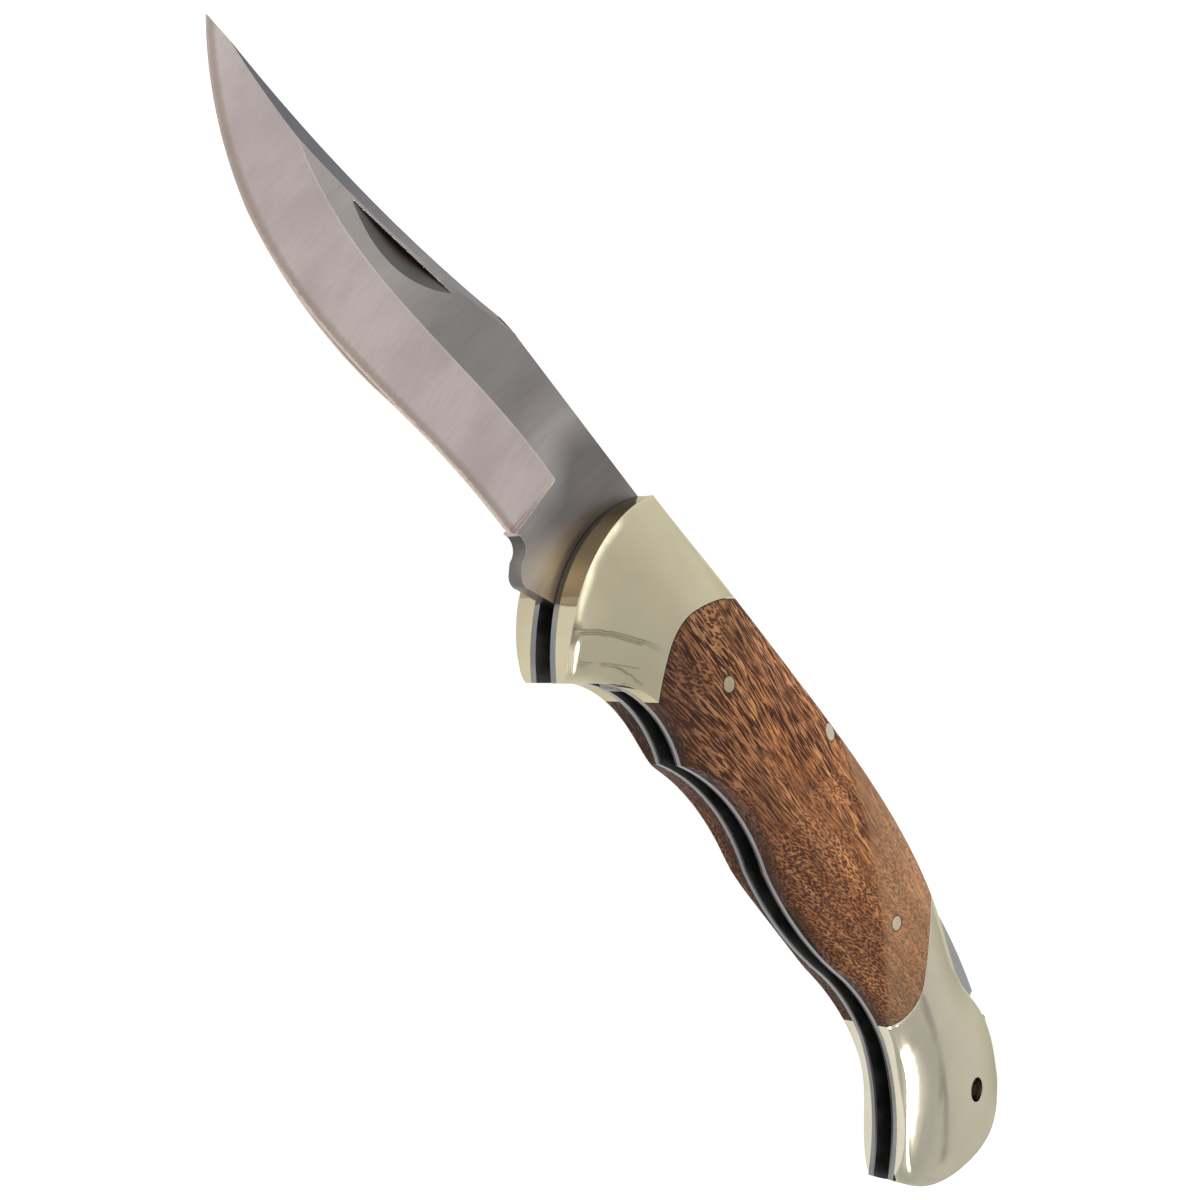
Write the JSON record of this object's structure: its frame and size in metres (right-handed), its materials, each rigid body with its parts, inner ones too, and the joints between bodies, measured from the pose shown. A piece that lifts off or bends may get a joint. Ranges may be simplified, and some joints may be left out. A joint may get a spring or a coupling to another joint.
{
  "type": "folding pocket knife",
  "caption": "Lockback folding pocket knife, open: clip point blade, wooden scales, polished bolsters and a lock bar along the spine that frees the blade to fold into the handle.",
  "frame": {"origin": "middle of the open knife's bounding box, at its lowest level, where the right scale lies on the table", "axes": "+X from the point of the blade to the butt, +Y from the belly to the spine, +Z out of the left side"},
  "size_m": [0.1924, 0.0368, 0.0129],
  "materials": {
    "blade_steel": "satin ground stainless steel",
    "nickel_silver": "mirror polished nickel silver",
    "liner_steel": "plain satin steel sheet",
    "spring_steel": "satin blue-grey spring steel",
    "rivet_metal": "flush ground nickel silver",
    "hardwood": "satin reddish-brown open-pored hardwood"
  },
  "bodies": {
    "handle": {"liner_left": "liner_steel", "liner_right": "liner_steel", "scale_left": "hardwood", "scale_right": "hardwood", "front_bolster_left": "nickel_silver", "front_bolster_right": "nickel_silver", "rear_bolster_left": "nickel_silver", "rear_bolster_right": "nickel_silver", "front_scale_rivet_left": "rivet_metal", "front_scale_rivet_right": "rivet_metal", "rear_scale_rivet_left": "rivet_metal", "rear_scale_rivet_right": "rivet_metal", "pivot_pin": "spring_steel", "lock_bar_pin": "rivet_metal", "lock_spring": "spring_steel", "butt_spacer": "liner_steel", "upper_spacer_pin": "spring_steel", "lower_spacer_pin": "spring_steel"},
    "blade": {"blade": "blade_steel"},
    "lock_bar": {"lock_bar": "spring_steel"}
  },
  "joints": [
    {"name": "blade_fold", "type": "hinge", "parent": "handle", "child": "blade", "pos_m": [-0.00981, 0.00247, 0.00645], "axis": [0, 0, 1], "range_deg": [0, 177]},
    {"name": "lock_bar_press", "type": "hinge", "parent": "handle", "child": "lock_bar", "pos_m": [0.02565, 0.01612, 0.00645], "axis": [0, 0, -1], "range_deg": [-1.33, 0.4], "stiffness_Nm_per_rad": 0.5, "springref_deg": -3.44}
  ]
}
